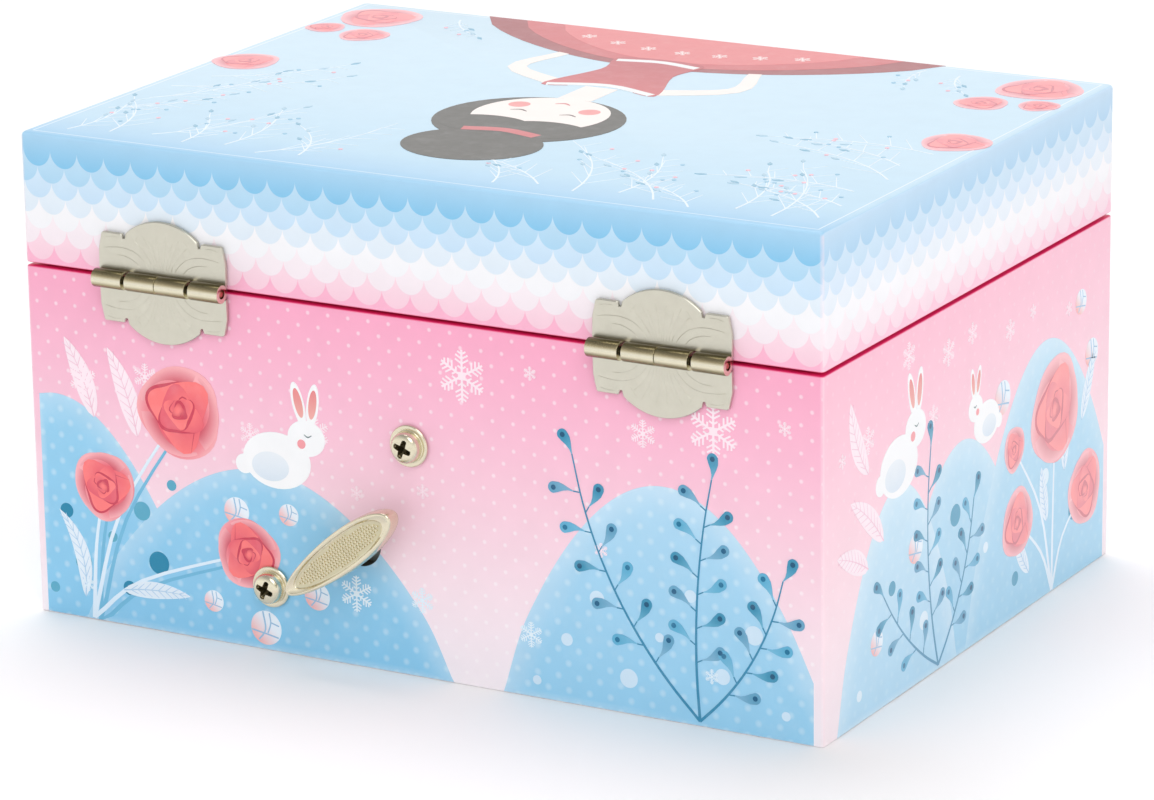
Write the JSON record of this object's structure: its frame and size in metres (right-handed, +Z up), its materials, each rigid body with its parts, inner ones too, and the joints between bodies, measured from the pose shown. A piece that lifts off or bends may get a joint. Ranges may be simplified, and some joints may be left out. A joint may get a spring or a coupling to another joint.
{
  "type": "ballerina jewellery box",
  "caption": "Hinged paper-covered jewellery box with a wind-up music movement that spins a small sprung ballerina on a stage inside.",
  "frame": {"origin": "centre of the case's underside, on the surface it stands on", "axes": "+Z up, front towards -Y, hinges and winding key on the back at +Y, +X along the long side"},
  "size_m": [0.19, 0.1497, 0.107],
  "materials": {
    "base_paper": "paper-covered board",
    "case_paper": "printed paper over board, satin",
    "lining_velour": "velour-covered board",
    "cushion_velour": "velour",
    "warm_nickel": "warm nickel plate",
    "copper_wire": "copper-washed wire",
    "zinc_casting": "grey die casting",
    "bright_steel": "bright steel",
    "brass": "turned brass",
    "lid_paper": "printed paper over board, satin",
    "mirror": "polished",
    "dancer_plastic": "painted plastic",
    "tulle": "tulle"
  },
  "bodies": {
    "case": {"base_board": "base_paper", "case_front": "case_paper", "case_back": "case_paper", "case_left": "case_paper", "case_right": "case_paper", "floor_pad": "lining_velour", "ring_cushion": "cushion_velour", "divider_left": "lining_velour", "divider_right": "lining_velour", "divider_front": "lining_velour", "stage_deck": "lining_velour", "stage_front": "lining_velour", "stage_wall_left": "lining_velour", "stage_wall_right": "lining_velour", "hinge_left_case_leaf": "warm_nickel", "hinge_left_pin": "copper_wire", "hinge_right_case_leaf": "warm_nickel", "hinge_right_pin": "copper_wire", "bedplate": "zinc_casting", "movement_screw_upper": "warm_nickel", "movement_screw_lower": "warm_nickel", "cylinder_bracket": "zinc_casting", "comb_rail": "zinc_casting", "comb": "bright_steel", "comb_screw_upper": "bright_steel", "comb_screw_lower": "bright_steel", "governor_bracket": "zinc_casting", "spindle_bush": "brass", "stay_case_bracket": "warm_nickel"},
    "lid": {"lid_top": "lid_paper", "lid_front": "lid_paper", "lid_back": "lid_paper", "lid_left": "lid_paper", "lid_right": "lid_paper", "lid_lining": "lining_velour", "lid_mirror": "mirror", "hinge_left_lid_leaf": "warm_nickel", "hinge_right_lid_leaf": "warm_nickel", "stay_lid_bracket": "warm_nickel"},
    "stay": {"stay_arm": "warm_nickel"},
    "plunger": {"stop_plunger": "bright_steel"},
    "key": {"winding_key": "warm_nickel", "winding_arbor": "bright_steel", "clutch_spring": "bright_steel"},
    "barrel": {"spring_barrel": "brass", "barrel_cap": "brass", "mainspring": "bright_steel"},
    "cylinder": {"cylinder_arbor": "bright_steel", "pin_cylinder": "brass", "drive_wheel": "brass"},
    "governor": {"governor_wheel": "brass"},
    "worm": {"governor_worm": "bright_steel", "governor_fan": "brass"},
    "spindle": {"dancer_gear": "brass", "dancer_spindle": "bright_steel", "dancer_spring": "bright_steel"},
    "dancer": {"dancer_figure": "dancer_plastic", "dancer_tutu": "tulle"}
  },
  "joints": [
    {"name": "lid_hinge", "type": "hinge", "parent": "case", "child": "lid", "pos_m": [0, 0.0726, 0.07805], "axis": [-1, 0, 0], "range_deg": [0, 100]},
    {"name": "stay_pivot", "type": "hinge", "parent": "lid", "child": "stay", "pos_m": [0.088, 0.03545, 0.08605], "axis": [1, 0, 0], "range_deg": [0, 52]},
    {"name": "stop_plunger_slide", "type": "slide", "parent": "case", "child": "plunger", "axis": [0, 0, 1], "range_m": [0, 0.0062]},
    {"name": "key_wind", "type": "hinge", "parent": "case", "child": "key", "pos_m": [0.013, 0.07, 0.0274], "axis": [0, 1, 0], "continuous": true},
    {"name": "cylinder_turn", "type": "hinge", "parent": "case", "child": "cylinder", "pos_m": [0.013, 0.0479, 0.05], "axis": [0, 0, 1], "continuous": true},
    {"name": "barrel_turn", "type": "hinge", "parent": "case", "child": "barrel", "pos_m": [0.013, 0.052, 0.0274], "axis": [0, 1, 0], "continuous": true},
    {"name": "governor_turn", "type": "hinge", "parent": "case", "child": "governor", "pos_m": [-0.0006, 0.0479, 0.0554], "axis": [0, 0, 1], "continuous": true},
    {"name": "worm_spin", "type": "hinge", "parent": "case", "child": "worm", "pos_m": [-0.0012, 0.0409, 0.0554], "axis": [1, 0, 0], "continuous": true},
    {"name": "dancer_spin", "type": "hinge", "parent": "case", "child": "spindle", "pos_m": [0.013, 0.0239, 0.0675], "axis": [0, 0, 1], "continuous": true},
    {"name": "dancer_tilt", "type": "hinge", "parent": "spindle", "child": "dancer", "pos_m": [0.013, 0.0239, 0.0735], "axis": [-1, 0, 0], "range_deg": [0, 63], "deforming": ["dancer_spring"]}
  ],
  "couplings": [
    {"joint": "stay_pivot", "follows": "lid_hinge", "ratio": 0.5},
    {"joint": "stop_plunger_slide", "follows": "lid_hinge", "m_per_rad": 0.0035},
    {"joint": "dancer_tilt", "follows": "lid_hinge", "ratio": 0.62},
    {"joint": "barrel_turn", "follows": "cylinder_turn", "ratio": -0.33333},
    {"joint": "governor_turn", "follows": "cylinder_turn", "ratio": -1.8333},
    {"joint": "worm_spin", "follows": "cylinder_turn", "ratio": 44},
    {"joint": "dancer_spin", "follows": "cylinder_turn", "ratio": -0.57895}
  ]
}
